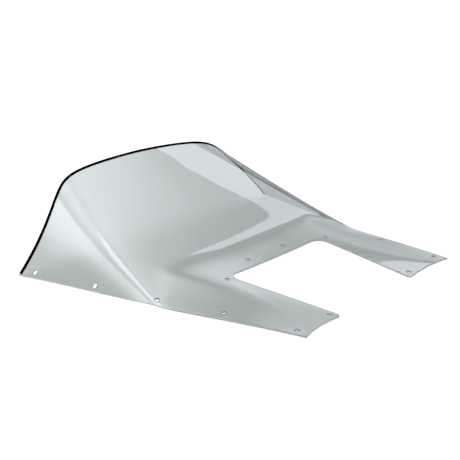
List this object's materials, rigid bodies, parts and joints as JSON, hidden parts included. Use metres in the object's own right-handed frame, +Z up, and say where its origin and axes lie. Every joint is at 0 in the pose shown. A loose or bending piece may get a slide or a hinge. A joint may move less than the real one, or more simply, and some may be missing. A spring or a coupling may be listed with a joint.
{
  "type": "snowmobile windshield screen",
  "caption": "Low smoke-tinted snowmobile windshield: a formed clear sheet with a hood notch between drilled arms, and a black edge moulding on its rear hoop.",
  "frame": {"origin": "middle of the footprint, on the flat surface that the screen lies on", "axes": "+X across the screen, +Y towards its rear, where the rider sits, +Z up"},
  "size_m": [0.62, 0.5228, 0.1431],
  "materials": {
    "tinted_sheet": "polished smoke-tinted clear polycarbonate",
    "black_vinyl": "smooth glossy vinyl extrusion",
    "clear_adhesive": "cured flexible adhesive"
  },
  "bodies": {
    "root": {"screen": "tinted_sheet", "edge_moulding": "black_vinyl", "moulding_adhesive": "clear_adhesive"}
  },
  "joints": []
}
